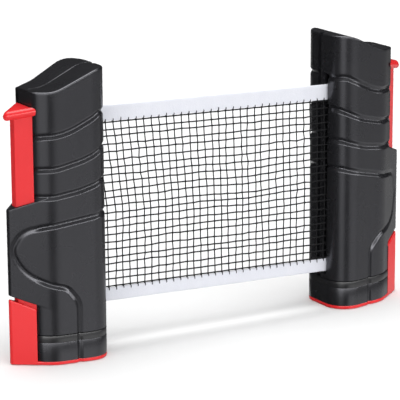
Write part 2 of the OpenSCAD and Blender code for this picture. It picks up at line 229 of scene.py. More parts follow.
def rounded(t, soft):
    # a straight rise from 0 to 1 that starts off gently
    return (np.sqrt(t * t + soft * soft) - soft) / (math.sqrt(1 + soft * soft) - soft)


def grooveDepth(u, z, lines):
    # lines are polylines on the unrolled skin; the face above a groove is steeper than the one below
    depth = np.zeros_like(z)
    for line in lines:
        best = np.full(z.shape, 1e9)
        lift = np.zeros_like(z)
        for a, b in zip(line[:-1], line[1:]):
            length = max(float((b - a) @ (b - a)), 1e-9)
            t = np.clip(((u - a[0]) * (b[0] - a[0]) + (z - a[1]) * (b[1] - a[1])) / length, 0, 1)
            du, dz = u - a[0] - t * (b[0] - a[0]), z - a[1] - t * (b[1] - a[1])
            away = np.hypot(du, dz)
            closer = away < best
            best = np.where(closer, away, best)
            lift = np.where(closer, dz / np.maximum(away, 1e-6), lift)
        width = np.where(lift > 0, groove["beside"] + (groove["above"] - groove["beside"]) * lift,
                         groove["beside"] - (groove["below"] - groove["beside"]) * lift)
        wall = rounded(np.clip(1 - best / width, 0, 1), groove["lip"])
        depth = np.maximum(depth, groove["depth"] * (1 - rounded(1 - wall, groove["valley"])))
    return depth


def girth(outline):
    # distance along an outline from its first point
    return np.concatenate([[0], np.cumsum(np.linalg.norm(np.diff(outline, axis=0), axis=1))])


def unrolled(path, x, u):
    # a line drawn in x and z, laid on the unrolled skin; near the inner end it runs on level
    first = int(np.argmax(x > groove["levelTo"]))
    order = np.argsort(x[first:])
    beyond = next(i for i, p in enumerate(path) if p[0] > x[first])
    near = [[u[j], along(path[: beyond + 1], x[j])] for j in range(first)]
    far = [[np.interp(p[0], x[first:][order], u[first:][order]), p[1]] for p in path[beyond:]]
    return np.array(near + far)


def only(obj):
    if bpy.context.object and bpy.context.object.mode != "OBJECT":
        bpy.ops.object.mode_set(mode="OBJECT")
    bpy.ops.object.select_all(action="DESELECT")
    obj.select_set(True)
    bpy.context.view_layer.objects.active = obj


def write(obj, points):
    obj.data.vertices.foreach_set("co", (np.asarray(points, float) * mm).ravel())
    obj.data.update()


def pick(obj, test):
    # in object mode: selects the vertices that pass the test
    co = np.array([v.co for v in obj.data.vertices]) / mm
    obj.data.polygons.foreach_set("select", np.zeros(len(obj.data.polygons), bool))
    obj.data.edges.foreach_set("select", np.zeros(len(obj.data.edges), bool))
    obj.data.vertices.foreach_set("select", test(co))


def outwards(obj, merge=0.004):
    only(obj)
    bpy.ops.object.mode_set(mode="EDIT")
    bpy.ops.mesh.select_all(action="SELECT")
    bpy.ops.mesh.remove_doubles(threshold=merge * mm)
    bpy.ops.mesh.normals_make_consistent(inside=False)
    bpy.ops.object.mode_set(mode="OBJECT")


def pickOpenEdges():
    # in edit mode: selects the edges that have a face on one side only
    bpy.ops.mesh.select_all(action="DESELECT")
    bpy.ops.mesh.select_non_manifold(extend=False, use_wire=False, use_multi_face=False,
                                     use_non_contiguous=False, use_verts=False)


def capHoles(obj):
    # closes what is still open with a face
    only(obj)
    bpy.ops.object.mode_set(mode="EDIT")
    bpy.ops.mesh.select_mode(type="EDGE")
    pickOpenEdges()
    bpy.ops.mesh.edge_face_add()
    bpy.ops.mesh.select_mode(type="VERT")
    bpy.ops.object.mode_set(mode="OBJECT")


def smooth(obj, degrees):
    only(obj)
    bpy.ops.object.shade_smooth_by_angle(angle=math.radians(degrees))


def flatShape(name, corners, reach):
    # a closed outline of corners, made a face and extruded along reach
    bpy.ops.mesh.primitive_circle_add(vertices=len(corners), radius=1, fill_type="NGON")
    obj = bpy.context.object
    obj.name = name
    write(obj, corners)
    bpy.ops.object.mode_set(mode="EDIT")
    bpy.ops.mesh.select_all(action="SELECT")
    bpy.ops.mesh.extrude_region_move(TRANSFORM_OT_translate={"value": tuple(v * mm for v in reach)})
    bpy.ops.object.mode_set(mode="OBJECT")
    outwards(obj)
    return obj


def prism(name, outline, z0, z1):
    outline = np.asarray(outline, float)
    return flatShape(name, np.column_stack([outline, np.full(len(outline), z0)]), (0, 0, z1 - z0))


def sidePrism(name, outline, y0, y1):
    outline = np.asarray(outline, float)
    return flatShape(name, np.column_stack([outline[:, 0], np.full(len(outline), y0), outline[:, 1]]),
                     (0, y1 - y0, 0))


def block(name, low, high):
    outline = [(low[0], low[1]), (high[0], low[1]), (high[0], high[1]), (low[0], high[1])]
    return prism(name, outline, low[2], high[2])


def rod(name, x, y, z0, z1, radius, sides=32):
    turn = np.arange(sides) * 2 * math.pi / sides
    return prism(name, np.column_stack([x + radius * np.cos(turn), y + radius * np.sin(turn)]), z0, z1)


def skin(name, rings, closed=True):
    # a grid laid over rings of points, each ring with the same count; the ends are left open
    rings = np.asarray(rings, float)
    if closed:
        rings = np.concatenate([rings, rings[:, :1]], axis=1)
    count, across = rings.shape[:2]
    bpy.ops.mesh.primitive_grid_add(x_subdivisions=across - 1, y_subdivisions=count - 1, size=2)
    obj = bpy.context.object
    obj.name = name
    write(obj, rings.reshape(-1, 3))
    return obj


def stack(name, levels):
    # a solid through outlines at given heights, from the bottom up
    obj = skin(name, [np.column_stack([o, np.full(len(o), z) if np.isscalar(z) else z]) for o, z in levels])
    outwards(obj)
    capEnds(obj)
    return obj


def capEnds(obj):
    # a face on the upper open end, then one on the lower
    only(obj)
    bpy.ops.object.mode_set(mode="EDIT")
    bpy.ops.mesh.select_mode(type="EDGE")
    for upper in (True, False):
        pickOpenEdges()
        if upper:
            bpy.ops.object.mode_set(mode="OBJECT")
            height = {e.index: obj.data.vertices[e.vertices[0]].co.z for e in obj.data.edges if e.select}
            middle = (max(height.values()) + min(height.values())) / 2
            for i, z in height.items():
                obj.data.edges[i].select = z > middle
            bpy.ops.object.mode_set(mode="EDIT")
        bpy.ops.mesh.edge_face_add()
    bpy.ops.mesh.select_mode(type="VERT")
    bpy.ops.object.mode_set(mode="OBJECT")
    outwards(obj)


def carve(obj, cutter, operation="DIFFERENCE"):
    # applies a boolean and throws the cutter away
    only(obj)
    change = obj.modifiers.new("carve", "BOOLEAN")
    change.operation, change.solver, change.object = operation, "EXACT", cutter
    bpy.ops.object.modifier_apply(modifier=change.name)
    bpy.data.objects.remove(cutter, do_unlink=True)


def onPost(obj, side, name):
    # moves a piece made in post space to its post; the left post is turned half round
    turn = Matrix.Rotation(math.pi if side == "left" else 0, 4, "Z")
    obj.data.transform(turn @ Matrix.Translation((post["halfGap"] * mm, 0, 0)))
    obj.data.update()
    obj.name = name
    obj.data.name = name


def perPost(obj, name):
    # one copy for each post, with its own mesh; what they were copied from is thrown away
    for side in ("left", "right"):
        copy = obj.copy()
        copy.data = obj.data.copy()
        bpy.context.collection.objects.link(copy)
        onPost(copy, side, side.capitalize() + name)
        yield side, copy
    bpy.data.objects.remove(obj, do_unlink=True)


def bothPosts(obj, name, body, slot, *nodes):
    for side, copy in perPost(obj, name):
        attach(copy, side + body)
        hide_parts(*[side + "_" + n for n in nodes])


class Finish:
    # a Principled material with a few helpers for its nodes
    def __init__(self, name, color, roughness, **sockets):
        self.material = bpy.data.materials.new(name)
        self.material.use_nodes = True
        self.nodes, self.links = self.material.node_tree.nodes, self.material.node_tree.links
        self.shader = self.nodes["Principled BSDF"]
        self.shader.inputs["Base Color"].default_value = (*color, 1)
        self.shader.inputs["Roughness"].default_value = roughness
        for key, value in sockets.items():
            self.shader.inputs[key.replace("_", " ")].default_value = value
        self.place = self.nodes.new("ShaderNodeTexCoord").outputs["Object"]

    def noise(self, scale, detail=4, stretch=(1, 1, 1)):
        shift = self.nodes.new("ShaderNodeMapping")
        shift.inputs["Scale"].default_value = stretch
        self.links.new(self.place, shift.inputs["Vector"])
        texture = self.nodes.new("ShaderNodeTexNoise")
        texture.inputs["Scale"].default_value = scale
        texture.inputs["Detail"].default_value = detail
        self.links.new(shift.outputs["Vector"], texture.inputs["Vector"])
        return texture.outputs["Fac"]

    def spread(self, value, low, high, fromLow=0.3, fromHigh=0.7):
        ramp = self.nodes.new("ShaderNodeMapRange")
        for key, number in (("From Min", fromLow), ("From Max", fromHigh), ("To Min", low), ("To Max", high)):
            ramp.inputs[key].default_value = number
        self.links.new(value, ramp.inputs["Value"])
        return ramp.outputs["Result"]

    def blend(self, value, a, b):
        mix = self.nodes.new("ShaderNodeMix")
        mix.data_type = "RGBA"
        mix.inputs["A"].default_value = (*a, 1)
        mix.inputs["B"].default_value = (*b, 1)
        self.links.new(value, mix.inputs["Factor"])
        return mix.outputs["Result"]

    def to(self, value, socket):
        self.links.new(value, self.shader.inputs[socket])

    def bump(self, value, strength, distance):
        raised = self.nodes.new("ShaderNodeBump")
        raised.inputs["Strength"].default_value = strength
        raised.inputs["Distance"].default_value = distance
        self.links.new(value, raised.inputs["Height"])
        self.links.new(raised.outputs["Normal"], self.shader.inputs["Normal"])


def blackPlastic():
    made = Finish("blackPlastic", (0.01, 0.01, 0.0115), 0.27, Specular_IOR_Level=1.0,
                  Specular_Tint=(0.93, 0.93, 1, 1))
    fine = made.noise(2600, 3)
    cloud = made.noise(30, 3)
    streak = made.noise(260, 3, (1, 1, 0.06))
    made.to(made.spread(cloud, 0.25, 0.3), "Roughness")
    made.to(made.blend(streak, (0.009, 0.009, 0.0105), (0.0115, 0.0115, 0.013)), "Base Color")
    made.bump(fine, 0.06, 0.0002)
    return made.material


def redPlastic():
    made = Finish("redPlastic", (0.68, 0.022, 0.026), 0.22, Specular_IOR_Level=0.5)
    fine = made.noise(1500, 3)
    cloud = made.noise(24, 2)
    made.to(made.spread(cloud, 0.19, 0.25), "Roughness")
    made.to(made.blend(cloud, (0.65, 0.019, 0.023), (0.71, 0.025, 0.029)), "Base Color")
    made.bump(fine, 0.06, 0.0002)
    return made.material


def padRubber():
    made = Finish("padRubber", (0.01, 0.01, 0.0115), 0.3, Specular_IOR_Level=1.0)
    fine = made.noise(1800, 4)
    made.to(made.spread(fine, 0.27, 0.34), "Roughness")
    made.to(made.blend(fine, (0.009, 0.009, 0.0105), (0.012, 0.012, 0.0135)), "Base Color")
    made.bump(fine, 0.12, 0.0002)
    return made.material


def brightSteel():
    made = Finish("brightSteel", (0.6, 0.61, 0.63), 0.3, Metallic=1.0)
    grain = made.noise(500, 3, (1, 1, 0.05))
    made.to(made.spread(grain, 0.24, 0.38), "Roughness")
    made.to(made.blend(grain, (0.54, 0.55, 0.57), (0.66, 0.67, 0.69)), "Base Color")
    return made.material


def netCord():
    made = Finish("netCord", (0.008, 0.008, 0.009), 0.75, Specular_IOR_Level=0.2)
    fine = made.noise(3000, 2)
    made.to(made.blend(fine, (0.006, 0.006, 0.007), (0.011, 0.011, 0.012)), "Base Color")
    made.bump(fine, 0.3, 0.0002)
    return made.material


def whiteTape():
    made = Finish("whiteTape", (0.6, 0.61, 0.66), 0.85, Sheen_Weight=0.2)
    fine = made.noise(1100, 3)
    cloud = made.noise(120, 3)
    made.to(made.blend(cloud, (0.57, 0.58, 0.635), (0.63, 0.64, 0.685)), "Base Color")
    made.bump(fine, 0.35, 0.0004)
    return made.material


finishes = {
    "black_plastic": blackPlastic(),
    "red_plastic": redPlastic(),
    "pad_rubber": padRubber(),
    "steel": brightSteel(),
    "net_cord": netCord(),
    "white_tape": whiteTape(),
}


def wear(obj, slot):
    obj.data.materials.clear()
    obj.data.materials.append(finishes[slot])


for row in frame["record"]["subparts"]:
    node = frame["nodes"][row["node"]]
    for holder in node.material_slots:
        holder.material = finishes[row["material_slot"]]
print("materials made")

# edge is how far the shield is drawn in at each small height from its rim
shield = {"top": 120.0, "topSlope": -0.4, "low": 44.6, "lowSlope": 0.41, "fadeFrom": 44.0, "step": 0.55,
          "edge": ((0, 0.7), (0.12, 0.3), (0.4, 0.06)), "edgeHeight": 0.8}
# rows of points up a casing half: how many in each stretch, and how they crowd round a groove
rowPlan = {"below": 34, "shield": 170, "firstGap": 3, "gap": 12, "top": 18, "topRound": 5, "seam": 12,
           "afterShield": 0.35, "before": 0.4, "after": 4.0,
           "leastGap": 0.1, "leastFirst": 0.12, "leastStep": 0.08,
           "around": (-3.6, -3.3, -3, -2.6, -2.1, -1.6, -1.1, -0.7, -0.4, -0.15,
                      0.1, 0.4, 0.8, 1.3, 1.9, 2.5, 3, 3.4, 3.8)}
# seam is the share of the way in and the drop of the last rows; blocks are given by two corners
casing = {
    "fadeProud": 3.0,
    "fadeRecessed": 0.6,
    "seam": ((0.962, 0), (0.984, 0.12), (1, 0.55)),
    "gap": 0.6,
    "sill": 4,
    "floor": 26,
    "behind": -9,
    "roofMargin": 4,
    "above": 230,
    "channelGap": 0.2,
    "channelBack": 53.0,
    "dockWall": ((-9, -2, 10), (4.3, 7.8, 240)),
    "dock": ((-9, -1, 10), (1.3, 4.8, 240)),
    "lug": ((52.9, 0.001, 108), (60, 2.4, 111.5)),
    "netSlot": ((-9, -8, 26), (5.4, -2.6, 182.8)),
    "tongue": ((-2.5, -2.2, 26), (1, -0.3, 205.4)),
    "bosses": ((46, 40, 13.8), (46, 112, 13.8), (46, 184, 13.8), (9.5, 196, 22.2)),
    "bossRadius": 3,
    "pocketInset": 4.95,
    "pocketEnd": 46.05,
    "pocketDepth": 1.6,
}


def shieldTop(x):
    return shield["top"] + shield["topSlope"] * (np.maximum(x, shield["fadeFrom"]) - post["cutX"])


def shieldLow(x):
    return shield["low"] + shield["lowSlope"] * (np.maximum(x, shield["fadeFrom"]) - post["cutX"])


def level(start, end, count, last=False):
    return [start + (end - start) * k / count for k in range(count + (1 if last else 0))]


def casingSkin(proud):
    # one half from its foot to its top, closed at the foot and along the seam
    full, cut = halfPlan(proud), halfPlan(proud, cut=True)
    fullIn = halfPlan(proud, 1) - full
    cutIn = halfPlan(proud, 1, True) - cut
    xf, xc = full[:, 0], cut[:, 0]
    # the body stands a little inside the shield where the two meet
    ease = np.clip((xf - shield["fadeFrom"]) / (post["cutX"] - shield["fadeFrom"]), 0, 1)
    easeCut = np.clip((xc - shield["fadeFrom"]) / (post["cutX"] - shield["fadeFrom"]), 0, 1)
    fadeOver = casing["fadeProud"] if proud else casing["fadeRecessed"]
    fade = np.clip((post["cutX"] - xc) / fadeOver, 0, 1)
    body = cut + cutIn * (shield["step"] * easeCut * fade)[:, None]
    u = girth(full)
    uc = girth(cut)

    # grooves run out where the flat face begins, and are shallower on the shield
    sweep = sweepProud if proud else sweepRecessed
    lines = [unrolled(w, xf, u) for w in waves] + [unrolled(sweep, xf, u)]
    flatFrom = int(np.argmax(xc > post["cutX"] - 0.05))
    shareCut = 1 - np.clip((uc - uc[flatFrom] + groove["runOutBefore"]) / groove["runOut"], 0, 1)
    onShield = np.clip((xf - groove["shieldFrom"]) / groove["shieldOver"], 0, 1)
    shareFull = 1 - (1 - groove["shieldShare"]) * onShield

    rows = []

    def add(z, outline, inward, share, inset=0.0):
        z = np.asarray(z, float) * np.ones(len(outline))
        deep = grooveDepth(u, z[None, :], lines)[0] * share
        point = outline + inward * (deep + inset)[:, None]
        rows.append(np.column_stack([point, z]))

    def addBody(z):
        add(z, body, cutIn, shareCut)

    low, high = shieldLow(xc), shieldTop(xc)
    for z in level(np.full_like(xc, post["jawZ"]), low, rowPlan["below"]):
        addBody(z)
    addBody(low - 0.001)
    lowF, highF = shieldLow(xf), shieldTop(xf)
    for rise, inset in shield["edge"]:
        add(lowF + rise, full, fullIn, shareFull, inset * ease)
    for z in level(lowF + shield["edgeHeight"], highF - shield["edgeHeight"], rowPlan["shield"], True):
        add(z, full, fullIn, shareFull)
    for drop, inset in reversed(shield["edge"]):
        add(highF - drop, full, fullIn, shareFull, inset * ease)
    addBody(high + 0.001)

    # above the shield the rows crowd round each wave and spread evenly between them
    around = rowPlan["around"]
    start = high + rowPlan["afterShield"]
    for i, wave in enumerate(reversed(waves)):
        line = along(wave, xc)
        first = np.maximum(line + around[0] - rowPlan["before"], start + rowPlan["leastGap"])
        for z in level(start, first, rowPlan["firstGap"] if i == 0 else rowPlan["gap"]):
            addBody(z)
        for k, step in enumerate(around):
            addBody(np.maximum(line + step, start + rowPlan["leastFirst"] + rowPlan["leastStep"] * k))
        start = line + rowPlan["after"]
    for z in level(start, along(topLine, xc) - post["topRound"], rowPlan["top"], True):
        addBody(z)

    # rounded top edge, then the wavy top face closing towards the seam
    edge, steps = post["topRound"], rowPlan["topRound"]
    for k in range(1, steps + 1):
        angle = math.pi / 2 * k / steps
        ring = body + cutIn * edge * (1 - math.cos(angle))
        rows.append(np.column_stack([ring, along(topLine, ring[:, 0]) - edge + edge * math.sin(angle)]))
    last = rows[-1]
    seamX = last[0, 0] + (last[-1, 0] - last[0, 0]) * (u / u[-1])
    count = rowPlan["seam"]
    for t, drop in [(k / count, 0) for k in range(1, count)] + list(casing["seam"]):
        px, py = last[:, 0] * (1 - t) + seamX * t, last[:, 1] * (1 - t)
        rows.append(np.column_stack([px, py, along(topLine, px) - drop]))

    shell = skin("shell", rows, closed=False)
    outwards(shell)
    pick(shell, lambda co: co[:, 2] < post["jawZ"] + 0.01)
    bpy.ops.object.mode_set(mode="EDIT")
    bpy.ops.mesh.edge_face_add()
    bpy.ops.object.mode_set(mode="OBJECT")
    capHoles(shell)
    outwards(shell)
    return shell


def hollowOut(shell, proud):
    # room inside, with the walls of the dock left standing
    way = 1 if proud else -1
    room = thinned(halfPlan(proud, post["wall"] + casing["gap"], True))
    room = np.concatenate([room, [[room[-1][0], -way], [room[0][0], -way]]])
    hollow = prism("hollow", room, post["jawZ"] + casing["sill"], casing["above"])
    behind, floor, margin = casing["behind"], casing["floor"], casing["roofMargin"]
    end = post["cutX"] - post["wall"]
    roof = [(p[0], p[1] - post["wall"]) for p in topLine if -margin < p[0] < post["cutX"] - margin]
    inside = [(behind, floor), (end, floor), (end, post["lowZ"] - post["wall"])]
    carve(hollow, sidePrism("inside", inside + roof[::-1] + [(behind, roof[0][1])], -70, 70), "INTERSECT")
    if proud:
        carve(hollow, block("dockWall", *casing["dockWall"]))
    carve(shell, hollow)


def fitInside(shell, proud):
    # the slide's channel, the dock and the spring's lug or the net's slot and the tongue, then the bosses
    # and the pocket that the upper pad sits in
    way = 1 if proud else -1
    carve(shell, prism("channel", arrow(-casing["channelGap"], casing["channelBack"]), 0, 240))
    if proud:
        carve(shell, block("dock", *casing["dock"]))
        carve(shell, block("lug", *casing["lug"]), "UNION")
    else:
        carve(shell, block("netSlot", *casing["netSlot"]))
        carve(shell, block("tongue", *casing["tongue"]), "UNION")
    turn = np.arange(24) * math.pi / 12
    radius = casing["bossRadius"]
    for x, z, reach in casing["bosses"]:
        face = np.column_stack([x + radius * np.cos(turn), z + radius * np.sin(turn)])
        carve(shell, sidePrism("boss", face, 0.003 * way, reach * way), "UNION")
    pocket = cutPlan(wholePlan(casing["pocketInset"]), casing["pocketEnd"], -1)
    carve(shell, prism("pocket", thinned(pocket), 10, post["jawZ"] + casing["pocketDepth"]))


def casingHalf(proud):
    shell = casingSkin(proud)
    hollowOut(shell, proud)
    fitInside(shell, proud)
    smooth(shell, 30)
    wear(shell, "black_plastic")
    return shell


for proud, name, node in ((True, "ProudShell", "proud_shell"), (False, "RecessedShell", "recessed_shell")):
    bothPosts(casingHalf(proud), name, "_post", "black_plastic", node)
print("casing halves made")

clamp = {"footTop": 2.4, "jawTop": 16.5, "padTop": 21.5, "jawEnd": 53.7, "screws": (13, 42),
         "grooveHeight": 10.0, "grooveBelow": 60}


def grooved(d, cut):
    # the whole outline with the long groove's upright run pressed into both sides
    parts = []
    for proud in (True, False):
        line = halfPlan(proud, d, cut)
        full = halfPlan(proud)
        inward = halfPlan(proud, 1, cut) - halfPlan(proud, 0, cut)
        u = girth(full)
        path = unrolled(sweepProud if proud else sweepRecessed, full[:, 0], u)
        upright = path[path[:, 1] < clamp["grooveBelow"]]
        deep = grooveDepth(u, np.full((1, len(u)), clamp["grooveHeight"]), [upright])[0]
        parts.append(line + inward * deep[:, None])
    return np.concatenate([parts[0], parts[1][-2:0:-1]])


def layer(name, z0, z1, cut, soften):
    # a slab of the grooved outline with softened edges
    half = soften * 0.3
    edges = [(grooved(soften, cut), z0), (grooved(half, cut), z0 + half),
             (grooved(0, cut), z0 + soften), (grooved(0, cut), z1 - soften),
             (grooved(half, cut), z1 - half), (grooved(soften, cut), z1)]
    return stack(name, edges)


jawBlock = {"edge": 0.25, "roof": 2.5, "column": 4, "screwHole": 1.5, "screwTop": 11}


def lowerJaw():
    jaw = layer("jaw", clamp["footTop"], clamp["jawTop"], True, jawBlock["edge"])
    core = cutPlan(thinned(wholePlan(post["wall"])), clamp["jawEnd"] - post["wall"], -1)
    hollow = prism("hollow", core, 0, clamp["jawTop"] - jawBlock["roof"])
    for x in clamp["screws"]:
        carve(hollow, rod("column", x, 0, -2, 30, jawBlock["column"]))
    carve(jaw, hollow)
    for x in clamp["screws"]:
        carve(jaw, rod("screwHole", x, 0, -1, jawBlock["screwTop"], jawBlock["screwHole"]))
    smooth(jaw, 30)
    wear(jaw, "black_plastic")
    bothPosts(jaw, "LowerJaw", "_clamp", "black_plastic", "lower_jaw")


padBlock = {"edge": 0.3, "treads": (12, 20, 28, 36, 44), "treadHalf": 0.75, "treadReach": 12, "treadDepth": 1}


def lowerPad():
    pad = layer("pad", clamp["jawTop"], clamp["padTop"], True, padBlock["edge"])
    half, reach = padBlock["treadHalf"], padBlock["treadReach"]
    bottom = clamp["padTop"] - padBlock["treadDepth"]
    for x in padBlock["treads"]:
        carve(pad, block("tread", (x - half, -reach, bottom), (x + half, reach, 30)))
    smooth(pad, 30)
    wear(pad, "pad_rubber")
    bothPosts(pad, "LowerPad", "_clamp", "pad_rubber", "lower_pad")


def resampled(line, count, edge):
    # an open outline divided into even steps from its first to its last point on the flat back
    back = np.where(np.abs(line[:, 0] - edge) < 0.01)[0]
    start = back[np.argmin(line[back, 1])]
    line = np.roll(line, -start, axis=0)
    if line[1, 0] - edge < 0.01:
        line = np.roll(line, -1, axis=0)
    g = girth(line)
    even = np.linspace(0, g[-1], count)
    return np.column_stack([np.interp(even, g, line[:, 0]), np.interp(even, g, line[:, 1])])


# the tab's root is the height of its upper face at the flat face, drop its fall per mm to the tip
tab = {"thick": 6.6, "root": 187.8, "drop": 0.235, "back": 52.0, "proud": 0.5, "bulge": 0.92,
       "steps": 12, "points": 72, "gap": 0.2}


def thumbTab():
    # the nose's own outline, tilted down towards its tip, with a full round edge
    half = tab["thick"] / 2
    levels = []
    for k in range(tab["steps"] + 1):
        angle = -math.pi / 2 + math.pi * k / tab["steps"]
        inset = -tab["proud"] + half * (1 - math.cos(angle)) * tab["bulge"]
        line = resampled(cutPlan(wholePlan(inset), tab["back"], 1), tab["points"], tab["back"])
        z = tab["root"] - half - tab["drop"] * (line[:, 0] - post["cutX"]) + half * math.sin(angle)
        levels.append((line, z))
    made = stack("tab", levels)
    # its ends lap round the rounded corners of the casing
    carve(made, prism("casing", thinned(wholePlan(-tab["gap"], True), 0.3), 150, 215))
    return made


panel = {"top": 41.6, "slope": 0.45, "round": 1.3, "start": 0.6, "proud": 0.03, "points": 120, "steps": 5}


def redPanel():
    # the nose's own outline from inside the foot up to a slanting top with a rounded edge
    def outline(d):
        line = cutPlan(wholePlan(d - panel["proud"]), slide["back"], 1)
        return resampled(line, panel["points"], slide["back"])

    levels = [(outline(0), panel["start"])]
    for k in range(panel["steps"] + 1):
        angle = math.pi / 2 * k / panel["steps"]
        line = outline(panel["round"] * (1 - math.cos(angle)))
        top = panel["top"] + panel["slope"] * (line[:, 0] - slide["back"])
        levels.append((line, top - panel["round"] * (1 - math.sin(angle))))
    return stack("panel", levels)


shaft = {"low": 40, "high": 182, "back": 53.2, "roomLow": 49.7, "roomHigh": 172, "roomBack": 52.0,
         "roomShift": 0.4, "footEdge": 0.4, "panelRoof": 3,
         "screwHole": 1.7, "headHole": 2.9, "headDepth": 0.9}


def redSlide():
    made = prism("shaft", arrow(0, shaft["back"]), shaft["low"], shaft["high"])
    carve(made, thumbTab(), "UNION")
    carve(made, redPanel(), "UNION")
    carve(made, layer("foot", 0, clamp["footTop"], False, shaft["footEdge"]), "UNION")
    inner = [(p[0] - shaft["roomShift"], p[1]) for p in arrow(post["wall"], shaft["roomBack"])]
    carve(made, prism("shaftRoom", inner, shaft["roomLow"], shaft["roomHigh"]))
    core = cutPlan(thinned(wholePlan(post["wall"])), slide["back"], 1)
    core = np.array([(slide["back"] - 1 if p[0] < slide["back"] + 0.01 else p[0], p[1]) for p in core])
    carve(made, prism("panelRoom", core, clamp["footTop"] - 0.05, panel["top"] - shaft["panelRoof"]))
    for x in clamp["screws"]:
        carve(made, rod("screwHole", x, 0, -1, 4, shaft["screwHole"]))
        carve(made, rod("headHole", x, 0, -1, shaft["headDepth"], shaft["headHole"]))
    smooth(made, 34)
    wear(made, "red_plastic")
    bothPosts(made, "ClampSlide", "_clamp", "red_plastic", "clamp_slide")


lowerJaw()
lowerPad()
redSlide()
print("clamps made")


tubeEnd = 0.4  # how far the closed end of a tube bulges, in its own radii


def tubeRings(path, beside, radius, sides):
    # rings round a path, closed to a point at both ends; beside is a direction square to the path
    path = np.asarray(path, float)
    tangent = np.gradient(path, axis=0)
    tangent /= np.linalg.norm(tangent, axis=1)[:, None]
    beside = np.asarray(beside, float) * np.ones_like(path)
    beside = beside - (beside * tangent).sum(1)[:, None] * tangent
    beside /= np.linalg.norm(beside, axis=1)[:, None]
    other = np.cross(tangent, beside)
    radius = np.asarray(radius, float) * np.ones(len(path))
    turn = np.arange(sides) * 2 * math.pi / sides
    rings = path[:, None, :] + radius[:, None, None] * (np.cos(turn)[None, :, None] * beside[:, None, :]
                                                        + np.sin(turn)[None, :, None] * other[:, None, :])
    first = np.repeat(path[:1, None, :] - tangent[:1, None, :] * radius[0] * tubeEnd, sides, axis=1)
    last = np.repeat(path[-1:, None, :] + tangent[-1:, None, :] * radius[-1] * tubeEnd, sides, axis=1)
    return np.concatenate([first, rings, last])


def joined(name, pieces):
    bpy.ops.object.select_all(action="DESELECT")
    for piece in pieces:
        piece.select_set(True)
    bpy.context.view_layer.objects.active = pieces[0]
    bpy.ops.object.join()
    obj = bpy.context.object
    obj.name = name
    obj.data.name = name
    return obj


def tubes(name, ringSets):
    # every tube of a set has the same counts, so one grid is made and copied
    made = []
    for rings in ringSets:
        if not made:
            made.append(skin(name, rings))
            continue
        copy = made[0].copy()
        copy.data = made[0].data.copy()
        bpy.context.collection.objects.link(copy)
        write(copy, np.concatenate([rings, rings[:, :1]], axis=1).reshape(-1, 3))
        made.append(copy)
    return made


net = {"offset": 6.0, "reach": 127.55, "low": 28.6, "high": 174.8, "tapeTop": 11.6, "tapeLow": 9.8,
       "strings": 44, "courses": 23, "upright": 0.45, "level": 0.54, "knot": 1.4, "seed": 7,
       "askewStart": 3.9, "askewEnd": -0.5, "endGap": 0.6, "tuck": 2, "clear": 1.0, "waver": 0.16}
# how the strings hang: places are along the net and up from its middle, spreads likewise
hang = {"held": 14, "lean": 0.1, "leanFrom": 6, "leanTo": 70, "leanOver": 150, "leanLeast": 0.1,
        "sag": 2.0, "sagAt": (32, 4), "sagOver": (26, 24),
        "bunch": 1.6, "bunchAt": 34, "bunchOver": (18, 34), "bunchTurn": 12,
        "wander": 0.16, "drift": 0.12, "jitter": 0.16, "depth": 0.5, "depthWave": 31}
# the string ends on the tapes; course is each point's place from the inside out
stitch = {"reach": 1.7, "uneven": 0.25, "slant": 0.1, "out": 0.45, "over": 0.55, "inside": -0.6,
          "course": (-1.0, -0.2, 0.5, 1.0), "radii": (0.3, 0.34, 0.34, 0.28)}
netTurn = -math.atan2(2 * net["offset"], 2 * post["halfGap"])
netLength = 2 * net["reach"] / math.cos(netTurn)
netAlong = np.array([math.cos(netTurn), math.sin(netTurn), 0])
netAcross = np.array([-math.sin(netTurn), math.cos(netTurn), 0])
upward = np.array([0.0, 0.0, 1.0])


def onNet(s, n, z):
    # s runs along the net, n is the depth through it; the net hangs a little askew between the posts
    s, n, z = np.broadcast_arrays(*(np.asarray(v, float) for v in (s, n, z)))
    span = post["halfGap"] - post["endOut"]
    askew = np.interp(s, [-span, span], [net["askewStart"], net["askewEnd"]])
    inside = np.clip((netLength / 2 - np.abs(s)) / (netLength / 2 - span), 0, 1)
    return s[..., None] * netAlong + n[..., None] * netAcross + (z + askew * inside)[..., None] * upward


